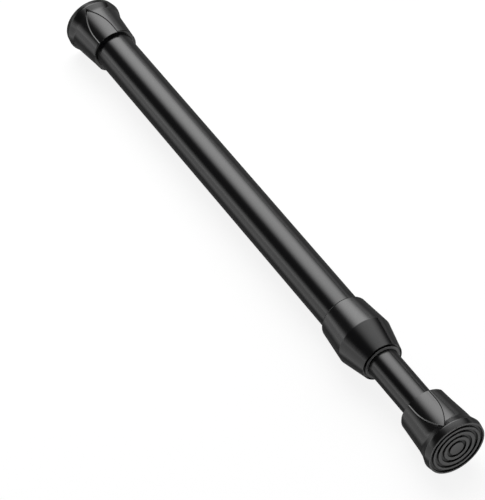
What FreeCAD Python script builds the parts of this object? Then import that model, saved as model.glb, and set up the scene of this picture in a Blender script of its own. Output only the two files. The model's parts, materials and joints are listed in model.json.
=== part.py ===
import FreeCAD, Part
import math
import os
import re

import Sketcher

# A spring tension rod lies along X. The outer tube's cap stands on one wall at X = 0, and the
# inner tube's cap on the other wall at X = rod_length. Almost every piece is turned about the
# rod's axis, so it is drawn as an outline of (x, radius) corners that starts at its own low end,
# and is then placed along X.

# Driving sizes in millimetres. Diameters end in _dia, and angles in degrees end in _angle.
SIZES = {
    # How far the rod is drawn out, from cap face to cap face
    "rod_length": 269.0,
    # Steel tubes
    "outer_dia": 16.0,
    "outer_wall": 0.6,
    "outer_tube_length": 207.0,
    "inner_dia": 12.3,
    "inner_wall": 0.5,
    "inner_tube_length": 179.0,
    # Rubber end caps, whose walls are measured from the outer tube
    "cap_length": 20.8,
    "cap_floor": 4.0,
    "flange_wall": 3.85,
    "flange_width": 3.1,
    "face_chamfer": 0.6,
    "flare_waist": 5.6,
    "flare_waist_wall": 3.08,
    "flare_length": 8.0,
    "cap_body_wall": 2.7,
    "cap_mouth_wall": 1.8,
    "cap_mouth_chamfer": 0.9,
    # Ring grooves in a cap's face: one beside the rim, and three more at one pitch inside it
    "rim_ring_inset": 1.65,
    "rim_ring_gap": 2.05,
    "ring_pitch": 2.4,
    "ring_width": 0.9,
    "ring_depth": 0.6,
    # Lancet panels sunk in a cap's side
    "panel_width": 8.8,
    "panel_shoulder": 16.8,
    "panel_tip": 3.5,
    "panel_sink": 0.3,
    "panel_turn_angle": 19.0,
    # Plastic collar on the outer tube's open end
    "collar_length": 26.8,
    "collar_seat": 16.0,
    "collar_ridge": 14.6,
    "collar_back_wall": 1.5,
    "collar_back_chamfer": 0.9,
    "collar_ridge_wall": 2.95,
    "collar_lip_wall": 1.9,
    "collar_lip_chamfer": 0.4,
    "collar_mouth_chamfer": 0.5,
    "guide_clearance": 0.25,
    # Bushes of the twist lock
    "bush_clearance": 0.2,
    "gland_flange": 1.5,
    "gland_length": 12.0,
    "stud_dia": 6.0,
    "stud_point": 0.6,
    "stud_clearance": 0.15,
    "thread_clearance": 0.05,
    "seat_clearance": 0.3,
    # Wedge cone and expander
    "cone_length": 10.0,
    "cone_small_dia": 10.2,
    "cone_large_dia": 12.8,
    "cone_gap": 0.2,
    "cone_proud": 3.0,
    "key_width": 1.2,
    "key_clearance": 0.2,
    "expander_length": 18.0,
    "expander_ring": 5.0,
    "expander_chamfer": 0.6,
    "finger_root": 1.5,
    # Nut on the stud's nose
    "nut_flats": 10.0,
    "nut_height": 5.0,
    "stud_nose": 1.0,
    # Spring and its seats
    "spring_travel": 12.0,
    "travel_spare": 1.0,
    "spring_length": 45.0,
    "spring_dia": 9.6,
    "wire_dia": 1.0,
    "spring_pitch": 5.0,
    "follower_clearance": 0.25,
    "follower_disc": 4.0,
    "stop_disc": 8.0,
    "spigot_length": 4.0,
    "spigot_clearance": 0.3,
}

PANELS = 4
FINGERS = 4
KEYS = 2
PITCHED_RINGS = 3
WIRE_SIDES = 6
STEPS_PER_COIL = 12

# Height of an arc over its chord, as a share of the chord, before its tangents settle it
FIRST_BOW = 0.1

CAP_FLANGE = "(outer_dia / 2 + flange_wall)"
CAP_BODY = "(outer_dia / 2 + cap_body_wall)"
CAP_MOUTH = "(outer_dia / 2 + cap_mouth_wall)"

doc = FreeCAD.newDocument("tension_rod")
sheet = doc.addObject("Spreadsheet::Sheet", "Sizes")
for row, (alias, value) in enumerate(SIZES.items(), start=1):
    sheet.set("A%d" % row, alias.replace("_", " "))
    sheet.set("B%d" % row, str(value))
    sheet.setAlias("B%d" % row, alias)
doc.recompute()

sub_parts = []


def cells(text):
    """Write each size that the text names as a reference to its cell."""
    return re.sub(r"[a-z_]+", lambda word: "Sizes." + word[0] if word[0] in SIZES else word[0], text)


def value_of(text):
    """Work out a text of sizes as a number."""
    return float(sheet.evalExpression(cells(text)))


def bind(thing, name, text):
    """Bind one property of a thing to a text of sizes."""
    thing.setExpression(name, cells(text))


def new_body(name, start="0"):
    """Start a body whose own zero stands at the given place along the rod."""
    body = doc.addObject("PartDesign::Body", name)
    bind(body, "Placement.Base.x", start)
    return body


def new_sketch(body, name):
    """Start a sketch on the body's own XY plane."""
    sketch = body.newObject("Sketcher::SketchObject", name)
    planes = [face for face in body.Origin.OriginFeatures if face.Role == "XY_Plane"]
    sketch.AttachmentSupport = [(planes[0], "")]
    sketch.MapMode = "FlatFace"
    return sketch


def hold(sketch, geometry, point, direction, text):
    """Fix how far a point lies from the sketch's zero, or put it on the axis where that is 0.

    A minus sign, where there is one, is the text's first character and holds for the whole text.
    """
    if text == "0":
        axis = -2 if direction == "DistanceX" else -1
        sketch.addConstraint(Sketcher.Constraint("PointOnObject", geometry, point, axis))
        return
    ends = (-1, 1, geometry, point)
    if text.startswith("-"):
        ends = (geometry, point, -1, 1)
        text = text[1:]
    number = sketch.addConstraint(Sketcher.Constraint(direction, *ends, value_of(text)))
    bind(sketch, "Constraints[%d]" % number, text)


def draw(sketch, corners, bowed=(), smooth=()):
    """Draw a closed outline through the corners, counter-clockwise.

    The stretches after the corners in bowed are arcs that swell outwards. At the corners in
    smooth, two stretches meet in a tangent.
    """
    first = sketch.GeometryCount
    points = [FreeCAD.Vector(value_of(x), value_of(y), 0) for x, y in corners]
    for index, start in enumerate(points):
        end = points[(index + 1) % len(points)]
        if index in bowed:
            chord = end - start
            outwards = FreeCAD.Vector(chord.y, -chord.x, 0)
            sketch.addGeometry(Part.Arc(start, (start + end) * 0.5 + outwards * FIRST_BOW, end))
        else:
            sketch.addGeometry(Part.LineSegment(start, end))
    for index, (x, y) in enumerate(corners):
        here = (first + index, 1)
        before = (first + (index - 1) % len(points), 2)
        kind = "Tangent" if index in smooth else "Coincident"
        sketch.addConstraint(Sketcher.Constraint(kind, *before, *here))
        hold(sketch, *here, "DistanceX", x)
        hold(sketch, *here, "DistanceY", y)


def spin(body, name, sketch, kind="Revolution"):
    """Turn a sketch about the rod's axis, to add material or, as a Groove, to cut it."""
    feature = body.newObject("PartDesign::" + kind, name)
    feature.Profile = sketch
    feature.ReferenceAxis = (sketch, ["H_Axis"])
    feature.Angle = 360
    return feature


def turn(body, name, corners, kind="Revolution"):
    """Turn one outline about the rod's axis."""
    sketch = new_sketch(body, name + "_outline")
    draw(sketch, corners)
    return spin(body, name, sketch, kind)


def around(body, name, feature, count):
    """Repeat a feature evenly about the rod's axis."""
    pattern = body.newObject("PartDesign::PolarPattern", name)
    pattern.Originals = [feature]
    pattern.Axis = (feature.Profile[0], ["H_Axis"])
    pattern.Angle = 360
    pattern.Occurrences = count
    body.Tip = pattern
    return pattern


def keep(thing, label):
    """Hand a finished sub-part in under its own name."""
    thing.Label = label
    sub_parts.append(thing)


def tube(label, start, length, dia, wall):
    """A plain drawn tube."""
    body = new_body(label, start)
    bore = "%s / 2 - %s" % (dia, wall)
    turn(body, label + "_wall", [("0", bore), (length, bore), (length, dia + " / 2"), ("0", dia + " / 2")])
    keep(body, label)


def cap_blank(name, bore_dia):
    """A cap as moulded, before its panels: foot, flare, tapered sleeve, bore and ring grooves."""
    body = new_body(name)
    turn(
        body,
        name + "_form",
        [
            ("0", "0"),
            ("cap_floor", "0"),
            ("cap_floor", bore_dia + " / 2"),
            ("cap_length", bore_dia + " / 2"),
            ("cap_length", CAP_MOUTH + " - cap_mouth_chamfer"),
            ("cap_length - cap_mouth_chamfer", CAP_MOUTH),
            ("flare_length", CAP_BODY),
            ("flare_waist", "outer_dia / 2 + flare_waist_wall"),
            ("flange_width", CAP_FLANGE),
            ("face_chamfer", CAP_FLANGE),
            ("0", CAP_FLANGE + " - face_chamfer"),
        ],
    )
    rim_ring = CAP_FLANGE + " - rim_ring_inset"
    rings = [rim_ring]
    for step in range(PITCHED_RINGS):
        rings.append(rim_ring + " - rim_ring_gap - %d * ring_pitch" % step)
    sketch = new_sketch(body, name + "_ring_outlines")
    for ring in rings:
        inner_edge = ("0", ring + " - ring_width / 2")
        bottom = ("ring_depth", ring)
        outer_edge = ("0", ring + " + ring_width / 2")
        draw(sketch, [inner_edge, bottom, outer_edge])
    spin(body, name + "_rings", sketch, "Groove")
    return body


def lancets(name, turn_axis):
    """Pointed-arch prisms round the axis, from their points on the flare to past the mouth."""
    body = new_body(name)
    half = "panel_width / 2"
    past_mouth = "cap_length + flange_width"
    sketch = new_sketch(body, name + "_outline")
    sketch.AttachmentOffset.Rotation = FreeCAD.Rotation(turn_axis, value_of("panel_turn_angle"))
    bind(sketch, "AttachmentOffset.Rotation.Angle", "panel_turn_angle")
    draw(
        sketch,
        [
            ("panel_tip", "0"),
            ("panel_shoulder", "-" + half),
            (past_mouth, "-" + half),
            (past_mouth, half),
            ("panel_shoulder", half),
        ],
        bowed=(0, 4),
        smooth=(1, 4),
    )
    arch = body.newObject("PartDesign::Pad", name + "_arch")
    arch.Profile = sketch
    bind(arch, "Length", CAP_FLANGE)
    around(body, name + "_ring", arch, PANELS)
    return body


def end_cap(label, bore_dia, turned_round):
    """A rubber cap: the blank, less the lancets wherever they stand outside the sunk panels' cone."""
    blank = cap_blank(label + "_blank", bore_dia)
    arches = lancets(label + "_arches", FreeCAD.Vector(-1 if turned_round else 1, 0, 0))
    core = doc.addObject("Part::Cone", label + "_panel_cone")
    taper = "(cap_body_wall - cap_mouth_wall) / (cap_length - cap_mouth_chamfer - flare_length)"
    past_mouth = "(cap_mouth_chamfer + flange_width)"
    bind(core, "Radius1", "%s + flare_length * %s - panel_sink" % (CAP_BODY, taper))
    bind(core, "Radius2", "%s - %s * %s - panel_sink" % (CAP_MOUTH, past_mouth, taper))
    bind(core, "Height", "cap_length + flange_width")
    core.Placement.Rotation = FreeCAD.Rotation(FreeCAD.Vector(0, 1, 0), 90)
    facing = FreeCAD.Rotation(FreeCAD.Vector(0, 0, 1), 180 if turned_round else 0)
    for thing in (blank, arches, core):
        thing.Placement.Rotation = facing * thing.Placement.Rotation
        bind(thing, "Placement.Base.x", "rod_length" if turned_round else "0")
    panels = doc.addObject("Part::Cut", label + "_panels")
    panels.Base = arches
    panels.Tool = core
    cap = doc.addObject("Part::Cut", label)
    cap.Base = blank
    cap.Tool = panels
    keep(cap, label)


def collar():
    """The double-tapered collar: it seats the outer tube's end and guides the inner tube."""
    body = new_body("collar", "cap_floor + outer_tube_length - collar_seat")
    guide = "inner_dia / 2 + guide_clearance"
    lip = guide + " + collar_lip_wall"
    back = "outer_dia / 2 + collar_back_wall"
    turn(
        body,
        "collar_form",
        [
            ("0", "outer_dia / 2"),
            ("collar_seat", "outer_dia / 2"),
            ("collar_seat", guide),
            ("collar_length - collar_mouth_chamfer", guide),
            ("collar_length", guide + " + collar_mouth_chamfer"),
            ("collar_length", lip + " - collar_lip_chamfer"),
            ("collar_length - collar_lip_chamfer", lip),
            ("collar_ridge", "outer_dia / 2 + collar_ridge_wall"),
            ("collar_back_chamfer", back),
            ("0", back + " - collar_back_chamfer"),
        ],
    )
    keep(body, "collar")


# Places along the rod, each worked out from the piece that carries it
TUBE_END = "rod_length - cap_floor - inner_tube_length"
CONE_START = TUBE_END + " - gland_flange - spring_travel - travel_spare - cone_length"
EXPANDER_START = CONE_START + " + cone_length - cone_proud - expander_length"
STUD_START = EXPANDER_START + " - seat_clearance - nut_height - stud_nose"
FOLLOWER_START = TUBE_END + " + gland_length + seat_clearance"
SPRING_START = FOLLOWER_START + " + follower_disc"
STOP_START = SPRING_START + " + spring_length"


def expander_bush():
    """A bush with a coned bore, slotted into fingers from its mouth."""
    body = new_body("expander_bush", EXPANDER_START)
    outside = "outer_dia / 2 - outer_wall - bush_clearance"
    slope = "(cone_large_dia - cone_small_dia) / 2 / cone_length"
    mouth = "cone_large_dia / 2 + cone_gap - cone_proud * " + slope
    turn(
        body,
        "expander_form",
        [
            ("0", "stud_dia / 2 + stud_clearance"),
            ("expander_ring", "stud_dia / 2 + stud_clearance"),
            ("expander_ring", mouth + " - (expander_length - expander_ring) * " + slope),
            ("expander_length", mouth),
            ("expander_length", outside),
            ("expander_chamfer", outside),
            ("0", outside + " - expander_chamfer"),
        ],
    )
    sketch = new_sketch(body, "slot_outline")
    half = "(key_width / 2 + key_clearance)"
    past_mouth = "expander_length + expander_chamfer"
    root = "expander_ring + finger_root"
    draw(sketch, [(root, "-" + half), (past_mouth, "-" + half), (past_mouth, half), (root, half)])
    slot = body.newObject("PartDesign::Pocket", "slot")
    slot.Profile = sketch
    bind(slot, "Length", "outer_dia / 2")
    around(body, "slots", slot, FINGERS)
    keep(body, "expander_bush")


def wedge_cone():
    """A cone nut with two keys that run in the expander's slots."""
    body = new_body("wedge_cone", CONE_START)
    turn(
        body,
        "cone_form",
        [
            ("0", "0"),
            ("cone_length", "0"),
            ("cone_length", "cone_large_dia / 2"),
            ("0", "cone_small_dia / 2"),
        ],
    )
    sketch = new_sketch(body, "key_outline")
    half = "key_width / 2"
    key_end = "cone_length - cone_proud"
    draw(sketch, [("0", "-" + half), (key_end, "-" + half), (key_end, half), ("0", half)])
    key = body.newObject("PartDesign::Pad", "key")
    key.Profile = sketch
    bind(key, "Length", "outer_dia / 2 - outer_wall - 2 * bush_clearance")
    around(body, "keys", key, KEYS)
    bore = "stud_dia / 2 + thread_clearance"
    bore_outline = [("0", "0"), ("cone_length", "0"), ("cone_length", bore), ("0", bore)]
    turn(body, "cone_bore", bore_outline, "Groove")
    keep(body, "wedge_cone")


def lock_stud():
    """The stud, from its nose to its seat in the spring follower. Its thread is too fine to draw."""
    body = new_body("lock_stud", STUD_START)
    length = "(%s) - (%s) + follower_disc" % (FOLLOWER_START, STUD_START)
    side = "stud_dia / 2"
    turn(
        body,
        "stud_form",
        [
            ("0", "0"),
            (length, "0"),
            (length, side),
            ("stud_point", side),
            ("0", side + " - stud_point"),
        ],
    )
    keep(body, "lock_stud")


def nose_nut():
    """A hexagon nut on the stud's nose."""
    hexagon = doc.addObject("Part::Prism", "nut_hexagon")
    hexagon.Polygon = 6
    bind(hexagon, "Circumradius", "nut_flats / sqrt(3)")
    hole = doc.addObject("Part::Cylinder", "nut_hole")
    bind(hole, "Radius", "stud_dia / 2")
    for thing in (hexagon, hole):
        bind(thing, "Height", "nut_height")
        thing.Placement.Rotation = FreeCAD.Rotation(FreeCAD.Vector(0, 1, 0), 90)
        bind(thing, "Placement.Base.x", STUD_START + " + stud_nose")
    nut = doc.addObject("Part::Cut", "nose_nut")
    nut.Base = hexagon
    nut.Tool = hole
    keep(nut, "nose_nut")


def gland_bush():
    """The flanged bush in the inner tube's end."""
    body = new_body("gland_bush", TUBE_END + " - gland_flange")
    bore = "stud_dia / 2 + stud_clearance"
    flange = "outer_dia / 2 - outer_wall - bush_clearance"
    body_side = "inner_dia / 2 - inner_wall"
    end = "gland_flange + gland_length"
    turn(
        body,
        "gland_form",
        [
            ("0", bore),
            (end, bore),
            (end, body_side),
            ("gland_flange", body_side),
            ("gland_flange", flange),
            ("0", flange),
        ],
    )
    keep(body, "gland_bush")


SPIGOT = "spring_dia / 2 - wire_dia - spigot_clearance"


def spring_follower():
    """The head that the stud ends in, with a spigot for the spring."""
    body = new_body("spring_follower", FOLLOWER_START)
    side = "inner_dia / 2 - inner_wall - follower_clearance"
    end = "follower_disc + spigot_length"
    turn(
        body,
        "follower_form",
        [
            ("0", "stud_dia / 2"),
            ("follower_disc", "stud_dia / 2"),
            ("follower_disc", "0"),
            (end, "0"),
            (end, SPIGOT),
            ("follower_disc", SPIGOT),
            ("follower_disc", side),
            ("0", side),
        ],
    )
    keep(body, "spring_follower")


def spring_stop():
    """The plug fixed in the inner tube, with a spigot for the spring's other end."""
    body = new_body("spring_stop", STOP_START + " - spigot_length")
    side = "inner_dia / 2 - inner_wall"
    end = "spigot_length + stop_disc"
    turn(
        body,
        "stop_form",
        [
            ("0", "0"),
            (end, "0"),
            (end, side),
            ("spigot_length", side),
            ("spigot_length", SPIGOT),
            ("0", SPIGOT),
        ],
    )
    keep(body, "spring_stop")


def compression_spring():
    """A coil between its two seats, lofted through sections of its wire with few sides."""
    wire = value_of("wire_dia / 2")
    coil = value_of("spring_dia / 2 - wire_dia / 2")
    rise = value_of("spring_length - wire_dia")
    steps = round(rise / value_of("spring_pitch") * STEPS_PER_COIL)
    sections = []
    for step in range(steps + 1):
        turned = FreeCAD.Rotation(FreeCAD.Vector(1, 0, 0), 360 * step / STEPS_PER_COIL)
        corners = []
        for side in range(WIRE_SIDES):
            angle = 2 * math.pi * side / WIRE_SIDES
            along = wire * (1 + math.cos(angle)) + rise * step / steps
            corners.append(turned * FreeCAD.Vector(along, coil + wire * math.sin(angle), 0))
        sections.append(Part.makePolygon(corners + corners[:1]))
    spring = doc.addObject("Part::Feature", "compression_spring")
    spring.Shape = Part.makeLoft(sections, True, True)
    spring.Placement.Base.x = value_of(SPRING_START)
    keep(spring, "compression_spring")


tube("outer_tube", "cap_floor", "outer_tube_length", "outer_dia", "outer_wall")
tube("inner_tube", TUBE_END, "inner_tube_length", "inner_dia", "inner_wall")
end_cap("outer_end_cap", "outer_dia", turned_round=False)
end_cap("inner_end_cap", "inner_dia", turned_round=True)
collar()
expander_bush()
wedge_cone()
lock_stud()
nose_nut()
gland_bush()
spring_follower()
spring_stop()
compression_spring()
doc.recompute()

for thing in doc.Objects:
    if "Invalid" in thing.State or "Error" in thing.State:
        raise RuntimeError("%s failed: %s" % (thing.Name, thing.State))
for thing in sub_parts:
    if thing.Shape.isNull() or not thing.Shape.isValid():
        raise RuntimeError("%s has no sound shape" % thing.Label)

os.makedirs("parts", exist_ok=True)
for thing in sub_parts:
    thing.Shape.exportStep("parts/%s.step" % thing.Label)
    box = thing.Shape.BoundBox
    places = (thing.Label, box.XMin, box.XMax, max(box.YMax, box.ZMax), thing.Shape.Volume)
    print("%-20s x %7.2f to %7.2f, radius %5.2f, %8.1f mm3" % places)
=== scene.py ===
# %% [markdown]
# # A spring tension rod in satin black
# A short telescopic rod: a painted steel tube, a thinner one that slides in it, a plastic collar
# that guides it, and a moulded rubber cap at each end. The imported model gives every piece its
# place. This lesson makes the surfaces that the eye sees, and the light that shows them.

# %% Load the frame
import json
import math

import bmesh
import bpy
from mathutils import Matrix, Vector


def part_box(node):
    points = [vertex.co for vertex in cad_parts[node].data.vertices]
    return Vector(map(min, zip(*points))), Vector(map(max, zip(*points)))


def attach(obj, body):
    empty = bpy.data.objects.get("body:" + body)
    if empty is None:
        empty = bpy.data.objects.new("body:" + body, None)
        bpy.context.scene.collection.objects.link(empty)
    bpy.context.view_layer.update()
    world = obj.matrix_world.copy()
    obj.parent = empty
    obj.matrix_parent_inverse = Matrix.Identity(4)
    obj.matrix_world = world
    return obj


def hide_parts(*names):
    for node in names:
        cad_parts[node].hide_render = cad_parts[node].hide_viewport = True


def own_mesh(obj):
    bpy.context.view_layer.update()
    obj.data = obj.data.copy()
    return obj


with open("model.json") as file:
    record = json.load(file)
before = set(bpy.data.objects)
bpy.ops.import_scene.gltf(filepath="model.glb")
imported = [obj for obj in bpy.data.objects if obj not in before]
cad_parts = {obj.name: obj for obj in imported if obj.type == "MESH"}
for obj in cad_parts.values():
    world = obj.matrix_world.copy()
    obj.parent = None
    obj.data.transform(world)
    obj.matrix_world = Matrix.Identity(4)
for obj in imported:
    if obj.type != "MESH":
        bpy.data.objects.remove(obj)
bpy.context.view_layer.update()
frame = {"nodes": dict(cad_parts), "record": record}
BODY_OF = {}
for body_name, node_names in frame["record"]["behaviour"]["bodies"].items():
    for node_name in node_names:
        BODY_OF[node_name] = body_name
print("nodes and their bodies:", BODY_OF)

# %% [markdown]
# Blender works in metres, and the pieces are small, so outlines are written in millimetres as
# (x, radius) pairs and turned to metres in one place. The rod lies along X. Each piece takes its
# ends and its radius from its node in the frame.

# %% Millimetres and places
MM = 0.001


def span(node):
    """A node's low end, high end and largest radius along the rod, in millimetres."""
    low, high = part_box(node)
    return low.x / MM, high.x / MM, max(high.y, high.z) / MM


ROD_LENGTH = span("inner_end_cap")[1]
FLANGE_RADIUS = span("outer_end_cap")[2]
print("rod length %.1f mm, flange radius %.2f mm" % (ROD_LENGTH, FLANGE_RADIUS))

# %% [markdown]
# ## The camera
# The camera comes first. The rod was seen from above and from its thin end, through a long lens.
# The camera is pointed at a spot beside the rod's middle. A Track To constraint could do that, but
# it needs an object to aim at, while a track quaternion gives the rotation at once, with no roll.

# %% Camera
CAMERA_TARGET = Vector((0.1468, -0.0141, 0.0))
CAMERA_AZIMUTH = math.radians(59.69)
CAMERA_ELEVATION = math.radians(44.06)
CAMERA_DISTANCE = 0.9465
CAMERA_LENS = 183.2
CAMERA_NEAR = 0.01

back = Vector((
    math.sin(CAMERA_AZIMUTH) * math.cos(CAMERA_ELEVATION),
    -math.cos(CAMERA_AZIMUTH) * math.cos(CAMERA_ELEVATION),
    math.sin(CAMERA_ELEVATION),
))
camera_data = bpy.data.cameras.new("camera")
camera_data.lens = CAMERA_LENS
camera_data.clip_start = CAMERA_NEAR
camera = bpy.data.objects.new("camera", camera_data)
camera.location = CAMERA_TARGET + back * CAMERA_DISTANCE
camera.rotation_euler = (-back).to_track_quat("-Z", "Y").to_euler()
bpy.context.collection.objects.link(camera)
bpy.context.scene.camera = camera
bpy.context.scene.view_settings.view_transform = "Standard"
print("camera at", tuple(round(value, 4) for value in camera.location))

# %% [markdown]
# ## Tools for materials
# Colours are written as sRGB hex values, as a paint shop would, and turned to the linear values
# that shaders use. One small function adds a node, sets its properties and links its inputs. The
# finished materials are kept by the name of the slot that they fill.

# %% Colour and node tools
MATERIALS = {}


def linear(hex_colour):
    """An sRGB hex colour as linear red, green, blue and alpha."""
    channels = [int(hex_colour[place:place + 2], 16) / 255 for place in (1, 3, 5)]
    knee, slope, offset, power = 0.04045, 12.92, 0.055, 2.4
    made = [c / slope if c <= knee else ((c + offset) / (1 + offset)) ** power for c in channels]
    return (*made, 1.0)


def add_node(tree, kind, inputs=None, **settings):
    """Add a node. An input is a plain value, or the socket that it is linked from."""
    made = tree.nodes.new(kind)
    for name, value in settings.items():
        setattr(made, name, value)
    for name, value in (inputs or {}).items():
        if isinstance(value, bpy.types.NodeSocket):
            tree.links.new(value, made.inputs[name])
        else:
            made.inputs[name].default_value = value
    return made


def new_material(name):
    """An empty material, its node tree and the coordinates of the object in metres."""
    material = bpy.data.materials.new(name)
    material.use_nodes = True
    tree = material.node_tree
    tree.nodes.clear()
    coordinates = add_node(tree, "ShaderNodeTexCoord").outputs["Object"]
    print("material:", name)
    return material, tree, coordinates


def per_metre(size_mm):
    """The scale of a texture whose features are this many millimetres across."""
    return 1 / (size_mm * MM)


# %% [markdown]
# ## Powder-coated steel
# The tubes are rolled steel with a black powder coat. Powder melts into a smooth skin that still
# keeps a faint orange peel, a millimetre or so from hill to hill, so highlights are soft at their
# edges and waver slightly. A picture of the peel could be wrapped round the tube, but noise in
# the object's own space needs no unwrapping and has no seam, so it is used for every finish here.
#
# The fine texture also breaks up the shine at a glancing angle, which keeps the long edges of the
# rod dark. Layer Weight tells how squarely a point is seen, and the gloss fades out where it is
# seen almost edge on. All three black finishes share that, and the black itself.

# %% Powder coat material
BLACK = "#09090a"
PEEL_MM = 1.4
PEEL_HEIGHT_MM = 0.05
# Grains of powder are finer than this. They are drawn as coarse as they need to show.
SPECK_MM = 0.25
GLANCE_FROM = 0.41
GLANCE_TO = 0.56
GLANCE_ROUGHNESS = 1.0


def dulled_at_a_glance(tree, satin):
    """A roughness that is the satin's own seen squarely, and full where seen almost edge on."""
    glance = add_node(tree, "ShaderNodeLayerWeight", {"Blend": 0.5})
    roughness = add_node(tree, "ShaderNodeMapRange", {
        "Value": glance.outputs["Facing"], "From Min": GLANCE_FROM, "From Max": GLANCE_TO,
        "To Min": satin, "To Max": GLANCE_ROUGHNESS,
    })
    return roughness.outputs["Result"]


def powder_coated_steel():
    material, tree, coordinates = new_material("powder_coated_steel")
    peel = add_node(tree, "ShaderNodeTexNoise", {
        "Vector": coordinates, "Scale": per_metre(PEEL_MM), "Detail": 2.0, "Roughness": 0.5,
    })
    speck = add_node(tree, "ShaderNodeTexNoise", {
        "Vector": coordinates, "Scale": per_metre(SPECK_MM), "Detail": 1.0,
    })
    satin = add_node(tree, "ShaderNodeMapRange", {
        "Value": speck.outputs["Fac"], "To Min": 0.17, "To Max": 0.23,
    })
    roughness = dulled_at_a_glance(tree, satin.outputs["Result"])
    colour = add_node(tree, "ShaderNodeMix", {
        "Factor": speck.outputs["Fac"], "A": linear(BLACK), "B": linear("#101011"),
    }, data_type="RGBA")
    bump = add_node(tree, "ShaderNodeBump", {
        "Height": peel.outputs["Fac"], "Strength": 0.06, "Distance": PEEL_HEIGHT_MM * MM,
    })
    shader = add_node(tree, "ShaderNodeBsdfPrincipled", {
        "Base Color": colour.outputs["Result"], "Roughness": roughness,
        "IOR": 1.5, "Normal": bump.outputs["Normal"],
    })
    add_node(tree, "ShaderNodeOutputMaterial", {"Surface": shader.outputs["BSDF"]})
    return material


MATERIALS["painted_tube"] = powder_coated_steel()

# %% [markdown]
# ## Moulded rubber
# The caps are moulded from a firm synthetic rubber. The steel mould was polished, but rubber
# takes up a fine grain as it cures, so the cap is a little softer in its gloss than the tube. The
# raised rings of the face are made matt and painted paler: the paler colour is a painted sheen,
# standing in for the light that the flat face catches. The mask could be painted on. Here it is
# found by how far a point lies from the rod's middle, so that one material serves both caps and
# their grooves stay black.

# %% Rubber material
# The real grain is finer. It is drawn as coarse as it needs to show.
RUBBER_GRAIN_MM = 0.3
RUBBER_GRAIN_HEIGHT_MM = 0.03
RUBBER_FLOW_MM = 4.0
# The flat ends of the caps are painted paler: a painted sheen for the light that the face catches.
END_FACE_DEPTH = 0.3
END_FACE_ROUGHNESS = 0.4
PAINTED_SHEEN_COLOUR = "#484848"


def moulded_rubber():
    material, tree, coordinates = new_material("moulded_rubber")
    grain = add_node(tree, "ShaderNodeTexNoise", {
        "Vector": coordinates, "Scale": per_metre(RUBBER_GRAIN_MM), "Detail": 3.0,
    })
    flow = add_node(tree, "ShaderNodeTexNoise", {
        "Vector": coordinates, "Scale": per_metre(RUBBER_FLOW_MM), "Detail": 2.0,
    })
    polished = add_node(tree, "ShaderNodeMapRange", {
        "Value": flow.outputs["Fac"], "To Min": 0.18, "To Max": 0.24,
    })
    along = add_node(tree, "ShaderNodeSeparateXYZ", {"Vector": coordinates}).outputs["X"]
    half = ROD_LENGTH / 2
    offset = add_node(tree, "ShaderNodeMath", {0: along, 1: half * MM}, operation="SUBTRACT")
    reach = add_node(tree, "ShaderNodeMath", {0: offset.outputs["Value"]}, operation="ABSOLUTE")
    end_face = add_node(tree, "ShaderNodeMapRange", {
        "Value": reach.outputs["Value"],
        "From Min": (half - END_FACE_DEPTH) * MM, "From Max": (half - END_FACE_DEPTH / 2) * MM,
    })
    satin = add_node(tree, "ShaderNodeMapRange", {
        "Value": end_face.outputs["Result"],
        "To Min": polished.outputs["Result"], "To Max": END_FACE_ROUGHNESS,
    })
    roughness = dulled_at_a_glance(tree, satin.outputs["Result"])
    colour = add_node(tree, "ShaderNodeMix", {
        "Factor": flow.outputs["Fac"], "A": linear(BLACK), "B": linear("#111111"),
    }, data_type="RGBA")
    # Painted sheen: the face rings take a paler colour for the light that they catch.
    painted_face_sheen = add_node(tree, "ShaderNodeMix", {
        "Factor": end_face.outputs["Result"],
        "A": colour.outputs["Result"], "B": linear(PAINTED_SHEEN_COLOUR),
    }, data_type="RGBA")
    bump = add_node(tree, "ShaderNodeBump", {
        "Height": grain.outputs["Fac"], "Strength": 0.05, "Distance": RUBBER_GRAIN_HEIGHT_MM * MM,
    })
    shader = add_node(tree, "ShaderNodeBsdfPrincipled", {
        "Base Color": painted_face_sheen.outputs["Result"], "Roughness": roughness,
        "IOR": 1.52, "Normal": bump.outputs["Normal"],
    })
    add_node(tree, "ShaderNodeOutputMaterial", {"Surface": shader.outputs["BSDF"]})
    return material


MATERIALS["cap_rubber"] = moulded_rubber()

# %% [markdown]
# ## Moulded ABS
# The collar is injection-moulded ABS, coloured black right through, from a polished mould with a
# very light spark texture. The flat ring at the end of its lip is made matt and painted paler: the
# paler colour is a painted sheen, standing in for the light that the ring catches. The ring could
# have a material of its own, but the collar is one moulding, so a mask along X changes its one
# finish there.

# %% Collar plastic material
# The real pits of a spark texture are finer. They are drawn as coarse as they need to show.
SPARK_MM = 0.18
SPARK_HEIGHT_MM = 0.02
SINK_MM = 6.0
# The flat ring at the lip's end is painted paler: a painted sheen for the light that it catches.
LIP_FACE_DEPTH = 0.2
LIP_FACE_ROUGHNESS = 0.4
LIP_SHEEN_COLOUR = "#5c5c5c"


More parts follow.
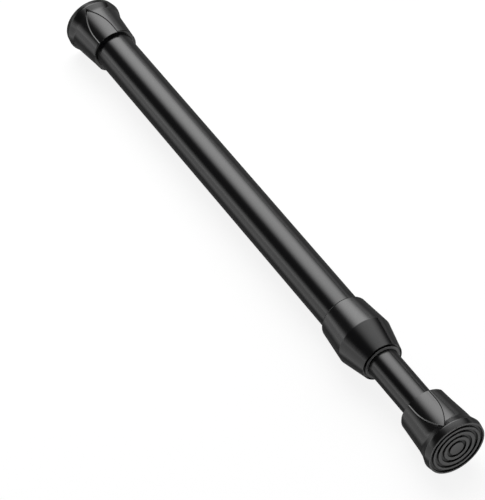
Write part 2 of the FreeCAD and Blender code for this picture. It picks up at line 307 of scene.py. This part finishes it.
def moulded_abs():
    material, tree, coordinates = new_material("moulded_abs")
    spark = add_node(tree, "ShaderNodeTexNoise", {
        "Vector": coordinates, "Scale": per_metre(SPARK_MM), "Detail": 2.0,
    })
    sink = add_node(tree, "ShaderNodeTexNoise", {
        "Vector": coordinates, "Scale": per_metre(SINK_MM), "Detail": 1.0,
    })
    skinned = add_node(tree, "ShaderNodeMapRange", {
        "Value": sink.outputs["Fac"], "To Min": 0.18, "To Max": 0.24,
    })
    along = add_node(tree, "ShaderNodeSeparateXYZ", {"Vector": coordinates}).outputs["X"]
    lip = span("collar")[1]
    lip_face = add_node(tree, "ShaderNodeMapRange", {
        "Value": along,
        "From Min": (lip - LIP_FACE_DEPTH) * MM, "From Max": (lip - LIP_FACE_DEPTH / 2) * MM,
    })
    satin = add_node(tree, "ShaderNodeMapRange", {
        "Value": lip_face.outputs["Result"],
        "To Min": skinned.outputs["Result"], "To Max": LIP_FACE_ROUGHNESS,
    })
    roughness = dulled_at_a_glance(tree, satin.outputs["Result"])
    colour = add_node(tree, "ShaderNodeMix", {
        "Factor": sink.outputs["Fac"], "A": linear(BLACK), "B": linear("#0f0f10"),
    }, data_type="RGBA")
    # Painted sheen: the lip's flat ring takes a paler colour for the light that it catches.
    painted_lip_sheen = add_node(tree, "ShaderNodeMix", {
        "Factor": lip_face.outputs["Result"],
        "A": colour.outputs["Result"], "B": linear(LIP_SHEEN_COLOUR),
    }, data_type="RGBA")
    bump = add_node(tree, "ShaderNodeBump", {
        "Height": spark.outputs["Fac"], "Strength": 0.04, "Distance": SPARK_HEIGHT_MM * MM,
    })
    shader = add_node(tree, "ShaderNodeBsdfPrincipled", {
        "Base Color": painted_lip_sheen.outputs["Result"], "Roughness": roughness,
        "IOR": 1.54, "Normal": bump.outputs["Normal"],
    })
    add_node(tree, "ShaderNodeOutputMaterial", {"Surface": shader.outputs["BSDF"]})
    return material


MATERIALS["collar_plastic"] = moulded_abs()

# %% [markdown]
# ## Natural nylon
# The bushes inside the tubes are nylon in its own milky colour, slightly see-through at thin
# edges, with the dull gloss of a quick moulding. Transmission would show what lies behind them. A
# little subsurface scattering gives only the milkiness, and with less noise.

# %% Nylon material
NYLON_CLOUD_MM = 2.5


def natural_nylon():
    material, tree, coordinates = new_material("natural_nylon")
    cloud = add_node(tree, "ShaderNodeTexNoise", {
        "Vector": coordinates, "Scale": per_metre(NYLON_CLOUD_MM), "Detail": 3.0,
    })
    colour = add_node(tree, "ShaderNodeMix", {
        "Factor": cloud.outputs["Fac"], "A": linear("#ded8c6"), "B": linear("#ece7d8"),
    }, data_type="RGBA")
    roughness = add_node(tree, "ShaderNodeMapRange", {
        "Value": cloud.outputs["Fac"], "To Min": 0.38, "To Max": 0.5,
    })
    shader = add_node(tree, "ShaderNodeBsdfPrincipled", {
        "Base Color": colour.outputs["Result"], "Roughness": roughness.outputs["Result"],
        "IOR": 1.53, "Subsurface Weight": 0.15, "Subsurface Scale": 0.6 * MM,
    })
    add_node(tree, "ShaderNodeOutputMaterial", {"Surface": shader.outputs["BSDF"]})
    return material


MATERIALS["nylon"] = natural_nylon()

# %% [markdown]
# ## Zinc plate
# The stud and its nut are steel with a bright zinc plate. It is a metal, so its colour is in the
# reflection. Plating dries in faint patches. Voronoi cells would draw the sharp crystals of
# dipped zinc, so soft noise is used instead.

# %% Zinc plate material
ZINC_SPANGLE_MM = 0.8


def zinc_plated_steel():
    material, tree, coordinates = new_material("zinc_plated_steel")
    spangle = add_node(tree, "ShaderNodeTexNoise", {
        "Vector": coordinates, "Scale": per_metre(ZINC_SPANGLE_MM), "Detail": 4.0,
    })
    colour = add_node(tree, "ShaderNodeMix", {
        "Factor": spangle.outputs["Fac"], "A": linear("#b9bdc4"), "B": linear("#d6d8da"),
    }, data_type="RGBA")
    roughness = add_node(tree, "ShaderNodeMapRange", {
        "Value": spangle.outputs["Fac"], "To Min": 0.22, "To Max": 0.38,
    })
    shader = add_node(tree, "ShaderNodeBsdfPrincipled", {
        "Base Color": colour.outputs["Result"], "Roughness": roughness.outputs["Result"],
        "Metallic": 1.0,
    })
    add_node(tree, "ShaderNodeOutputMaterial", {"Surface": shader.outputs["BSDF"]})
    return material


MATERIALS["plated_steel"] = zinc_plated_steel()

# %% [markdown]
# ## Spring wire
# The spring is hard-drawn wire, a darker metal that keeps fine lines from the die along its
# length. They could be drawn as noise stretched along the wire, but they are too fine to tell
# apart here, so a coarser, even grain stands for them.

# %% Spring wire material
DIE_LINE_MM = 0.12


def drawn_spring_wire():
    material, tree, coordinates = new_material("drawn_spring_wire")
    lines = add_node(tree, "ShaderNodeTexNoise", {
        "Vector": coordinates, "Scale": per_metre(DIE_LINE_MM), "Detail": 2.0,
    })
    colour = add_node(tree, "ShaderNodeMix", {
        "Factor": lines.outputs["Fac"], "A": linear("#5d6064"), "B": linear("#83868a"),
    }, data_type="RGBA")
    roughness = add_node(tree, "ShaderNodeMapRange", {
        "Value": lines.outputs["Fac"], "To Min": 0.25, "To Max": 0.4,
    })
    shader = add_node(tree, "ShaderNodeBsdfPrincipled", {
        "Base Color": colour.outputs["Result"], "Roughness": roughness.outputs["Result"],
        "Metallic": 1.0,
    })
    add_node(tree, "ShaderNodeOutputMaterial", {"Surface": shader.outputs["BSDF"]})
    return material


MATERIALS["spring_wire"] = drawn_spring_wire()
print("slots:", list(MATERIALS))

# %% [markdown]
# ## Tools for turned pieces
# Nearly every piece is round, so it is drawn as an outline of corners and turned about X. Real
# edges are never sharp. A Bevel modifier could round them, but here each corner has a fillet
# radius of its own, and the outline walks round it in short chords.

# %% Outlines
FILLET_STEP = math.radians(9)


def rounded(corners):
    """An outline through (x, radius, fillet) corners, with each fillet as a fan of points."""
    points = [Vector(corner[:2]) for corner in corners]
    outline = []
    for index, here in enumerate(points):
        fillet = corners[index][2]
        if not fillet:
            outline.append(here)
            continue
        before = (points[index - 1] - here).normalized()
        after = (points[(index + 1) % len(points)] - here).normalized()
        opening = before.angle(after)
        centre = here + (before + after).normalized() * fillet / math.sin(opening / 2)
        start = here + before * fillet / math.tan(opening / 2) - centre
        end = here + after * fillet / math.tan(opening / 2) - centre
        steps = max(2, math.ceil((math.pi - opening) / FILLET_STEP))
        swing = start.angle_signed(end)
        for step in range(steps + 1):
            outline.append(centre + Matrix.Rotation(-swing * step / steps, 2) @ start)
    return outline


print("a square corner is rounded by %d chords" % math.ceil(math.pi / 2 / FILLET_STEP))

# %% [markdown]
# A skin of quads over rows of points makes the mesh. A Screw modifier could turn a plain outline
# too, but rows of points can also carry panels and threads.

# %% Skins
# Lengths in millimetres that differ by less than this are taken as the same.
TINY = 1e-6


def ring(x, radius, angles):
    """Points round the rod, in metres. An angle is counted from straight up towards +Y."""
    if radius < TINY:
        return [Vector((x, 0, 0)) * MM]
    return [Vector((x, radius * math.sin(a), radius * math.cos(a))) * MM for a in angles]


def skin(name, rows, closed):
    """A mesh object of quads over rings of points. A ring of one point is a pole."""
    vertices = []
    starts = []
    for row in rows:
        starts.append(len(vertices))
        vertices.extend(row)
    faces = []
    for index in range(len(rows) if closed else len(rows) - 1):
        following = (index + 1) % len(rows)
        here, there = rows[index], rows[following]
        count = max(len(here), len(there))
        for column in range(count):
            after = (column + 1) % count
            corners = [starts[index] + column % len(here), starts[index] + after % len(here)]
            corners += [starts[following] + after % len(there)]
            corners += [starts[following] + column % len(there)]
            faces.append(list(dict.fromkeys(corners)))
    mesh = bpy.data.meshes.new(name)
    mesh.from_pydata(vertices, [], faces)
    work = bmesh.new()
    work.from_mesh(mesh)
    bmesh.ops.recalc_face_normals(work, faces=work.faces)
    work.to_mesh(mesh)
    work.free()
    mesh.shade_smooth()
    piece = bpy.data.objects.new(name, mesh)
    bpy.context.collection.objects.link(piece)
    return piece


# %% [markdown]
# A turned piece is a skin whose rows are plain rings. Smooth shading alone would make its flat
# faces look round, so a Weighted Normal modifier lets the large faces rule. Each finished piece
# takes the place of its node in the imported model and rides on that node's body, so it moves as
# the node does.

# %% Turned pieces
COLUMNS = 160
FULL_TURN = 2 * math.pi


def evenly(start, end, count):
    """Count values from start up to, but without, end."""
    return [start + (end - start) * step / count for step in range(count)]


def turned(name, outline):
    """A closed outline turned about the rod's axis, with flat faces kept flat in the shading."""
    angles = evenly(0, FULL_TURN, COLUMNS)
    piece = skin(name, [ring(p.x, p.y, angles) for p in outline], closed=True)
    weighted = piece.modifiers.new("flat faces stay flat", "WEIGHTED_NORMAL")
    weighted.keep_sharp = True
    return piece


def stand_for(piece, node, slot):
    """Let a piece take a node's place, on the node's body, in the finish of a material slot."""
    piece.data.materials.append(MATERIALS[slot])
    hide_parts(node)
    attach(piece, BODY_OF[node])
    print("%s: %d faces" % (piece.name, len(piece.data.polygons)))


# %% [markdown]
# ## The tubes
# Two rolled tubes. Their ends were deburred, which leaves a hair of roundness that catches light.
# A cylinder with Solidify and Bevel modifiers would do. Four corners, turned, need neither, and
# take their ends from the frame.

# %% Tubes
OUTER_WALL = 0.6
INNER_WALL = 0.5
DEBURR = 0.15


def tube(name, node, wall):
    start, end, radius = span(node)
    corners = [
        (start, radius - wall, DEBURR),
        (end, radius - wall, DEBURR),
        (end, radius, DEBURR),
        (start, radius, DEBURR),
    ]
    stand_for(turned(name, rounded(corners)), node, "painted_tube")


tube("outer_tube_steel", "outer_tube", OUTER_WALL)
tube("inner_tube_steel", "inner_tube", INNER_WALL)

# %% [markdown]
# ## The end caps
# Each cap has a face with four ring grooves that grip the wall, a narrow rim, and a sleeve that
# curves outwards and meets the rim in a soft fold. Four lancet panels are sunk in the sleeve. Each
# panel is a plain cone, so it cuts deeper where the sleeve flares, and its pointed top ends in a
# step. A boolean would leave long thin triangles along those edges. Instead, the columns of the
# skin follow the lancet's outline, and each point sinks by a smooth step across that line.

# %% Cap outline
CAP_LENGTH = 20.8
CAP_FLOOR = 4.0
FACE_INSET = 0.45
FACE_FILLET = 0.25
# These two corners are (distance from the face, radius, fillet).
FOOT_CORNER = (2.6, FLANGE_RADIUS + 0.02, 0.8)
FLARE_CORNER = (5.4, 10.9, 4.0)
BODY_X = 8.0
BODY_RADIUS = 10.7
SLEEVE_TAPER = 0.0756
MOUTH_FILLET = 0.45
BORE_FILLET = 0.25
RING_RADII = (3.35, 5.75, 8.15, 10.2)
RING_WIDTH = 1.15
RING_DEPTH = 0.95
RING_DRAFT = 0.12
RING_EDGE_FILLET = 0.12
RING_BOTTOM_FILLET = 0.2


def cap_corners(bore):
    """The cap's outline from the middle of its face, over the foot and sleeve, into its bore."""
    corners = [(0, 0, 0)]
    for middle in RING_RADII:
        corners.append((0, middle - RING_WIDTH / 2, RING_EDGE_FILLET))
        corners.append((RING_DEPTH, middle - RING_WIDTH / 2 + RING_DRAFT, RING_BOTTOM_FILLET))
        corners.append((RING_DEPTH, middle + RING_WIDTH / 2 - RING_DRAFT, RING_BOTTOM_FILLET))
        corners.append((0, middle + RING_WIDTH / 2, RING_EDGE_FILLET))
    mouth = BODY_RADIUS - (CAP_LENGTH - BODY_X) * SLEEVE_TAPER
    corners += [
        (0, FLANGE_RADIUS - FACE_INSET, FACE_FILLET),
        FOOT_CORNER,
        FLARE_CORNER,
        (CAP_LENGTH, mouth, MOUTH_FILLET),
        (CAP_LENGTH, bore, BORE_FILLET),
        (CAP_FLOOR, bore, BORE_FILLET),
        (CAP_FLOOR, 0, 0),
    ]
    return corners


print("cap outline: %d corners" % len(cap_corners(span("outer_tube")[2])))

# %% [markdown]
# The lancet is two arcs that meet in a point on the flare and run into straight sides at the
# shoulder. The distance from a point to that line, seen square on, says how far the point sinks.

# %% Lancet outline
PANEL_HALF = 4.4
PANEL_SHOULDER = 16.8
PANEL_TIP = 3.5
PANEL_SINK = 0.3
ARCH_RADIUS = ((PANEL_SHOULDER - PANEL_TIP) ** 2 + PANEL_HALF ** 2) / (2 * PANEL_HALF)
LEAST_HALF_ANGLE = math.radians(4)


def panel_radius(x):
    """Radius of the sunk panels' cone."""
    return BODY_RADIUS + (BODY_X - x) * SLEEVE_TAPER - PANEL_SINK


def depth_inside(x, across):
    """How far a point lies inside the lancet, or outside where negative."""
    drop = max(0.0, PANEL_SHOULDER - x)
    return ARCH_RADIUS - math.hypot(drop, abs(across) + ARCH_RADIUS - PANEL_HALF)


def lancet_half_angle(x):
    """Half of the angle that the lancet spans at x."""
    drop = max(0.0, PANEL_SHOULDER - x)
    if drop >= PANEL_SHOULDER - PANEL_TIP:
        return LEAST_HALF_ANGLE
    half = PANEL_HALF - ARCH_RADIUS + math.sqrt(ARCH_RADIUS ** 2 - drop ** 2)
    return max(LEAST_HALF_ANGLE, math.asin(half / panel_radius(x)))


print("radius of the lancet's arcs: %.1f mm" % ARCH_RADIUS)

# %% [markdown]
# The columns of a row stand close together across the lancet's two edges and wide apart between
# them. The same number of columns spread evenly would blur the edges.

# %% Cap columns
PANELS = 4
PANEL_WALL = 0.34
PANEL_COLUMNS = 9
EDGE_COLUMNS = 11
PETAL_COLUMNS = 9


def cap_angles(half_angle):
    """Column angles for one row: close together across the lancet's edges."""
    edge = PANEL_WALL / BODY_RADIUS
    right = evenly(0, half_angle - edge, PANEL_COLUMNS)
    right += evenly(half_angle - edge, half_angle + edge, EDGE_COLUMNS)
    right += evenly(half_angle + edge, math.pi / PANELS, PETAL_COLUMNS)
    left = [-angle for angle in right[:0:-1]]
    return [-math.pi / PANELS] + left + right


print("columns round a cap: %d" % (PANELS * len(cap_angles(LEAST_HALF_ANGLE))))

# %% [markdown]
# Each cap is then one skin. Rows are added along the sleeve, because only there do points sink. The
# cap on the thin tube is the same moulding with a smaller bore, turned round to face its own way.

# %% Caps
PANEL_CENTRE = math.radians(-19)
ROW_STEP = 0.25


def subdivided(outline, step):
    """The outline with points added, so that no run is longer than the step."""
    finer = [outline[0]]
    for here, there in zip(outline, outline[1:]):
        parts = max(1, math.ceil((there - here).length / step))
        finer += [here.lerp(there, part / parts) for part in range(1, parts + 1)]
    return finer


def smooth_step(value):
    """A share from 0 to 1 that starts and ends gently."""
    value = min(1.0, max(0.0, value))
    return value * value * (3 - 2 * value)


def end_cap(name, node, bore_node, turned_round):
    outline = rounded(cap_corners(span(bore_node)[2]))
    tip_row = next(i for i, p in enumerate(outline) if p.x > PANEL_TIP / 2 and p.y > BODY_RADIUS)
    mouth_row = next(i for i, p in enumerate(outline) if p.x > CAP_LENGTH - TINY)
    sleeve = subdivided(outline[tip_row:mouth_row + 1], ROW_STEP)
    outline = outline[:tip_row] + sleeve + outline[mouth_row + 1:]
    mouth_row = tip_row + len(sleeve) - 1
    rows = []
    for index, point in enumerate(outline):
        on_sleeve = tip_row <= index <= mouth_row
        half_angle = lancet_half_angle(point.x if index >= tip_row else 0.0)
        if index > mouth_row:
            half_angle = lancet_half_angle(CAP_LENGTH)
        x = ROD_LENGTH - point.x if turned_round else point.x
        if point.y < TINY:
            rows.append(ring(x, 0, []))
            continue
        row = []
        for panel in range(PANELS):
            middle = PANEL_CENTRE + panel * FULL_TURN / PANELS
            for angle in cap_angles(half_angle):
                radius = point.y
                if on_sleeve:
                    inside = depth_inside(point.x, radius * math.sin(angle))
                    share = smooth_step(0.5 + inside / PANEL_WALL)
                    radius -= share * max(0.0, radius - panel_radius(point.x))
                row += ring(x, radius, [middle + angle])
        rows.append(row)
    stand_for(skin(name, rows, closed=False), node, "cap_rubber")


end_cap("outer_cap_moulding", "outer_end_cap", "outer_tube", turned_round=False)
end_cap("inner_cap_moulding", "inner_end_cap", "inner_tube", turned_round=True)

# %% [markdown]
# ## The collar
# The collar swells to a soft ridge and tapers to a lip that guides the inner tube. The lip ends in
# a flat ring close to the tube, and a narrow groove sets that ring off from the taper. Loop cuts
# on a cylinder would give this form too, but the corners of an outline keep its sizes readable.

# %% Collar
COLLAR_RIDGE = 14.6
COLLAR_BACK_WALL = 1.5
COLLAR_BACK_FILLET = 1.2
COLLAR_RIDGE_FILLET = 0.7
COLLAR_LEAD_IN = 0.08
GUIDE_CLEARANCE = 0.1
SMALL_FILLET = 0.06
LIP_RING_WALL = 1.1
LIP_GROOVE_WIDTH = 0.8
LIP_GROOVE_DEPTH = 1.2
LIP_GROOVE_DRAFT = 0.1
LIP_CREST = 0.15


def collar_moulding():
    start, end, ridge = span("collar")
    seat, tube_radius = span("outer_tube")[1:]
    guide = span("inner_tube")[2] + GUIDE_CLEARANCE
    lip_ring = guide + LIP_RING_WALL
    corners = [
        (start, tube_radius, SMALL_FILLET),
        (seat, tube_radius, 0),
        (seat, guide, SMALL_FILLET),
        (end - COLLAR_LEAD_IN, guide, SMALL_FILLET),
        (end, guide + COLLAR_LEAD_IN, SMALL_FILLET),
        (end, lip_ring, SMALL_FILLET),
        (end - LIP_GROOVE_DEPTH, lip_ring + LIP_GROOVE_DRAFT, SMALL_FILLET),
        (end - LIP_GROOVE_DEPTH, lip_ring + LIP_GROOVE_WIDTH - LIP_GROOVE_DRAFT, SMALL_FILLET),
        (end - LIP_CREST, lip_ring + LIP_GROOVE_WIDTH, SMALL_FILLET),
        (start + COLLAR_RIDGE, ridge, COLLAR_RIDGE_FILLET),
        (start, tube_radius + COLLAR_BACK_WALL, COLLAR_BACK_FILLET),
    ]
    stand_for(turned("collar_moulding", rounded(corners)), "collar", "collar_plastic")


collar_moulding()

# %% [markdown]
# ## The stud
# The lock and the spring can't be seen on a whole rod, but the model comes apart, so they are
# finished too. The stud's nose carries a real thread, drawn as a radius that rises and falls
# along a helix. A Screw modifier could wind a V into a thread, but it would leave the ends open.

# %% Stud
THREAD_PITCH = 1.0
THREAD_DEPTH = 0.55
THREAD_LENGTH = 30.0
THREAD_ROWS = 12
THREAD_COLUMNS = 48
STUD_POINT = 0.6


def stud_radius(x, angle, start, full):
    """Radius of the stud: a V-thread near its nose, and plain beyond."""
    if x - start > THREAD_LENGTH:
        return full
    phase = ((x - start) / THREAD_PITCH + angle / FULL_TURN) % 1.0
    valley = abs(2 * phase - 1)
    run_out = min(1.0, (THREAD_LENGTH - (x - start)) / THREAD_PITCH)
    point = max(0.0, STUD_POINT - (x - start))
    return full - max(point, THREAD_DEPTH * valley * run_out)


def lock_stud():
    start, end, full = span("lock_stud")
    steps = math.ceil(THREAD_LENGTH / THREAD_PITCH * THREAD_ROWS)
    places = [start + THREAD_LENGTH * step / steps for step in range(steps + 1)] + [end]
    angles = evenly(0, FULL_TURN, THREAD_COLUMNS)
    rows = [ring(start, 0, [])]
    for x in places:
        row = []
        for angle in angles:
            row += ring(x, stud_radius(x, angle, start, full), [angle])
        rows.append(row)
    rows.append(ring(end, 0, []))
    stand_for(skin("lock_stud_threaded", rows, closed=False), "lock_stud", "plated_steel")


lock_stud()

# %% [markdown]
# ## The nut
# The nut is a hexagon whose corners are turned off by a cone at both faces. A boolean of a prism
# and two cones would do. Here each point takes the smaller radius of the two shapes, which keeps
# the mesh in clean rows.

# %% Nut
NUT_COLUMNS = 72
NUT_SIDE = math.radians(60)
NUT_CHAMFER = math.radians(30)
NUT_FACE_SHARE = 0.95
NUT_CHAMFER_STEPS = (0.0, 0.1, 0.2, 0.3, 0.4, 0.5, 0.6, 0.7)
NUT_COUNTERSINK = 0.3


def hexagon_nut():
    start, end, corner = span("nose_nut")
    bore = span("lock_stud")[2]
    flat = corner * math.cos(NUT_SIDE / 2)
    angles = evenly(0, FULL_TURN, NUT_COLUMNS)
    places = [start + step for step in NUT_CHAMFER_STEPS]
    places += [end - step for step in reversed(NUT_CHAMFER_STEPS)]
    rows = [ring(start + NUT_COUNTERSINK, bore, angles)]
    rows.append(ring(start, bore + NUT_COUNTERSINK, angles))
    for x in places:
        turned_off = flat * NUT_FACE_SHARE + min(x - start, end - x) / math.tan(NUT_CHAMFER)
        row = []
        for angle in angles:
            hexagon = flat / math.cos(angle % NUT_SIDE - NUT_SIDE / 2)
            row += ring(x, min(hexagon, turned_off), [angle])
        rows.append(row)
    rows.append(ring(end, bore + NUT_COUNTERSINK, angles))
    rows.append(ring(end - NUT_COUNTERSINK, bore, angles))
    nut = skin("hexagon_nut", rows, closed=True)
    nut.data.set_sharp_from_angle(angle=NUT_CHAMFER)
    stand_for(nut, "nose_nut", "plated_steel")


hexagon_nut()

# %% [markdown]
# ## The spring
# A compression spring is wound from round wire, and its first and last coils are closed. A curve
# with a round bevel could draw it, but rows of points let the closed coils have a rise of their
# own. The piece then takes a mesh of its own.

# %% Spring
WIRE_RADIUS = 0.5
SPRING_PITCH = 5.0
CLOSED_COILS = 1.2
COIL_STEPS = 40
WIRE_STEPS = 12


def coil_spring():
    start, end, outside = span("compression_spring")
    coil_radius = outside - WIRE_RADIUS
    rise = end - start - 2 * WIRE_RADIUS
    closed_rise = CLOSED_COILS * 2 * WIRE_RADIUS
    open_coils = round((rise - 2 * closed_rise) / SPRING_PITCH)
    coils = open_coils + 2 * CLOSED_COILS
    steps = math.ceil(coils * COIL_STEPS)
    rows = []
    for step in range(steps + 1):
        turn = coils * step / steps
        if turn < CLOSED_COILS:
            x = turn * 2 * WIRE_RADIUS
        elif turn > coils - CLOSED_COILS:
            x = rise - (coils - turn) * 2 * WIRE_RADIUS
        else:
            x = closed_rise + (rise - 2 * closed_rise) * (turn - CLOSED_COILS) / open_coils
        around = FULL_TURN * turn
        row = []
        for angle in evenly(0, FULL_TURN, WIRE_STEPS):
            place = start + WIRE_RADIUS + x + WIRE_RADIUS * math.cos(angle)
            row += ring(place, coil_radius + WIRE_RADIUS * math.sin(angle), [around])
        rows.append(row)
    first = sum(rows[0], Vector()) / WIRE_STEPS
    last = sum(rows[-1], Vector()) / WIRE_STEPS
    return skin("coil_spring", [[first]] + rows + [[last]], closed=False)


spring = coil_spring()
stand_for(spring, "compression_spring", "spring_wire")
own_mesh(spring)

# %% [markdown]
# ## The other inner pieces
# The bushes, the cone, the follower and the stop keep the shapes that the frame gives them. All
# five are nylon mouldings.

# %% Finish of the inner nodes
NYLON_NODES = ("expander_bush", "wedge_cone", "gland_bush", "spring_stop", "spring_follower")
for node_name in NYLON_NODES:
    node_object = frame["nodes"][node_name]
    node_object.data.materials.clear()
    node_object.data.materials.append(MATERIALS["nylon"])
print("finished in nylon:", NYLON_NODES)

# %% [markdown]
# ## The floor
# The rod lies on a plain white floor, a wide disc with a raised rim. Stronger lamps could turn it
# white, but they would grey the rod. Instead a glow of its own, seen only by the camera and in
# reflections, lifts it to white, and its diffuse part still takes the rod's shadow.

# %% Floor
FLOOR_COLOUR = "#707070"
FLOOR_OUTLINE = ((3.2, 0.0), (3.5, 0.03), (3.75, 0.09), (3.92, 0.19), (4.0, 0.33))
FLOOR_COLUMNS = 96
FLOOR_GLOW = 0.87


def studio_floor():
    level = -FLANGE_RADIUS * MM
    angles = evenly(0, FULL_TURN, FLOOR_COLUMNS)
    rows = [[Vector((0, 0, level))]]
    for radius, rise in FLOOR_OUTLINE:
        height = level + rise
        row = [Vector((radius * math.cos(a), radius * math.sin(a), height)) for a in angles]
        rows.append(row)
    floor = skin("floor", rows, closed=False)
    material, tree = new_material("matt_white_paper")[:2]
    rays = add_node(tree, "ShaderNodeLightPath")
    seen = add_node(tree, "ShaderNodeMath", {
        0: rays.outputs["Is Camera Ray"], 1: rays.outputs["Is Glossy Ray"],
    }, operation="MAXIMUM")
    seen_through = add_node(tree, "ShaderNodeMath", {
        0: seen.outputs["Value"], 1: rays.outputs["Is Transmission Ray"],
    }, operation="MAXIMUM")
    glow = add_node(tree, "ShaderNodeMath", {
        0: seen_through.outputs["Value"], 1: FLOOR_GLOW,
    }, operation="MULTIPLY")
    shader = add_node(tree, "ShaderNodeBsdfPrincipled", {
        "Base Color": linear(FLOOR_COLOUR), "Roughness": 1.0, "Specular IOR Level": 0.0,
        "Emission Color": linear("#ffffff"), "Emission Strength": glow.outputs["Value"],
    })
    add_node(tree, "ShaderNodeOutputMaterial", {"Surface": shader.outputs["BSDF"]})
    floor.data.materials.append(material)
    print("floor: %d faces" % len(floor.data.polygons))


studio_floor()

# %% [markdown]
# ## The world
# Black gloss shows only what it reflects, so a bright sky would turn the whole rod grey. The
# studio round it is dark instead, with just enough light to keep the shadows from closing up.

# %% World
WORLD_STRENGTH = 0.05
world = bpy.data.worlds.new("dark_studio")
bpy.context.scene.world = world
world.use_nodes = True
world.node_tree.nodes.clear()
dark = add_node(world.node_tree, "ShaderNodeBackground", {
    "Color": linear("#ffffff"), "Strength": WORLD_STRENGTH,
})
add_node(world.node_tree, "ShaderNodeOutputWorld", {"Surface": dark.outputs["Background"]})
print("world: %s at strength %.2f" % (world.name, WORLD_STRENGTH))

# %% [markdown]
# ## The lights
# The lights are drawn for their reflections. A plain area light has hard edges, which a round tube
# would show as hard lines. Nodes on each light read a place on it, and fade it out across its
# width.

# %% Softboxes
WATTS_PER_RADIANCE = 4.0
# A place on a light runs from 0 to 1 along each side.
LIGHT_MIDDLE = 0.5
END_FADE_FROM = 0.5


def softbox(name, location, facing, length, width, radiance, end_share=1.0):
    """A light that fades out across its width, and towards one end to a share of its strength."""
    data = bpy.data.lights.new(name, "AREA")
    data.shape = "RECTANGLE"
    data.size, data.size_y = length, width
    data.energy = radiance * WATTS_PER_RADIANCE * length * width
    data.use_nodes = True
    tree = data.node_tree
    tree.nodes.clear()
    geometry = add_node(tree, "ShaderNodeNewGeometry")
    place = add_node(tree, "ShaderNodeSeparateXYZ", {"Vector": geometry.outputs["Parametric"]})
    off_middle = add_node(tree, "ShaderNodeMath", {
        0: place.outputs["Y"], 1: LIGHT_MIDDLE,
    }, operation="SUBTRACT")
    distance = add_node(tree, "ShaderNodeMath", {
        0: off_middle.outputs["Value"],
    }, operation="ABSOLUTE")
    end_fade = add_node(tree, "ShaderNodeMapRange", {
        "Value": place.outputs["X"], "From Min": END_FADE_FROM, "From Max": 0.0,
        "To Min": 1.0, "To Max": end_share,
    }, interpolation_type="SMOOTHSTEP")
    fade = add_node(tree, "ShaderNodeMapRange", {
        "Value": distance.outputs["Value"], "From Max": LIGHT_MIDDLE,
        "To Min": end_fade.outputs["Result"], "To Max": 0.0,
    }, interpolation_type="SMOOTHERSTEP")
    glow = add_node(tree, "ShaderNodeEmission", {"Strength": fade.outputs["Result"]})
    add_node(tree, "ShaderNodeOutputLight", {"Surface": glow.outputs["Emission"]})
    lamp = bpy.data.objects.new(name, data)
    lamp.location = location
    lamp.rotation_euler = facing.to_track_quat("-Z", "Y").to_euler()
    bpy.context.collection.objects.link(lamp)
    print("%s: %.0f W" % (name, data.energy))


# %% [markdown]
# A wide softbox hangs over the rod and fades towards the thin end. A lower and dimmer one stands on
# the left, and a strip in front of the thin end lights the cap's face. One light for each
# reflection makes each of them easy to move by itself.

# %% Lights
ROD_MIDDLE = Vector((ROD_LENGTH * MM / 2, 0, 0))
STRIP_OFFSET = Vector((1.3, 0.24, 0.19))


def over_rod(along, lean, distance):
    """A place off the rod's axis, and the way back to it. The lean is from upright towards +Y."""
    angle = math.radians(lean)
    outward = Vector((0, math.sin(angle), math.cos(angle)))
    return ROD_MIDDLE + Vector((along, 0, 0)) + outward * distance, -outward


key_place, key_facing = over_rod(along=-0.9, lean=15.5, distance=1.2)
softbox(
    "key_softbox", key_place, key_facing, length=2.44, width=2.86, radiance=3.65, end_share=0.05,
)
fill_place, fill_facing = over_rod(along=-0.95, lean=-82, distance=1.2)
softbox("fill_softbox", fill_place, fill_facing, length=1.6, width=0.8, radiance=1.0)
strip_place = ROD_MIDDLE + STRIP_OFFSET
softbox("front_strip", strip_place, -STRIP_OFFSET, length=1.2, width=0.6, radiance=5.0)
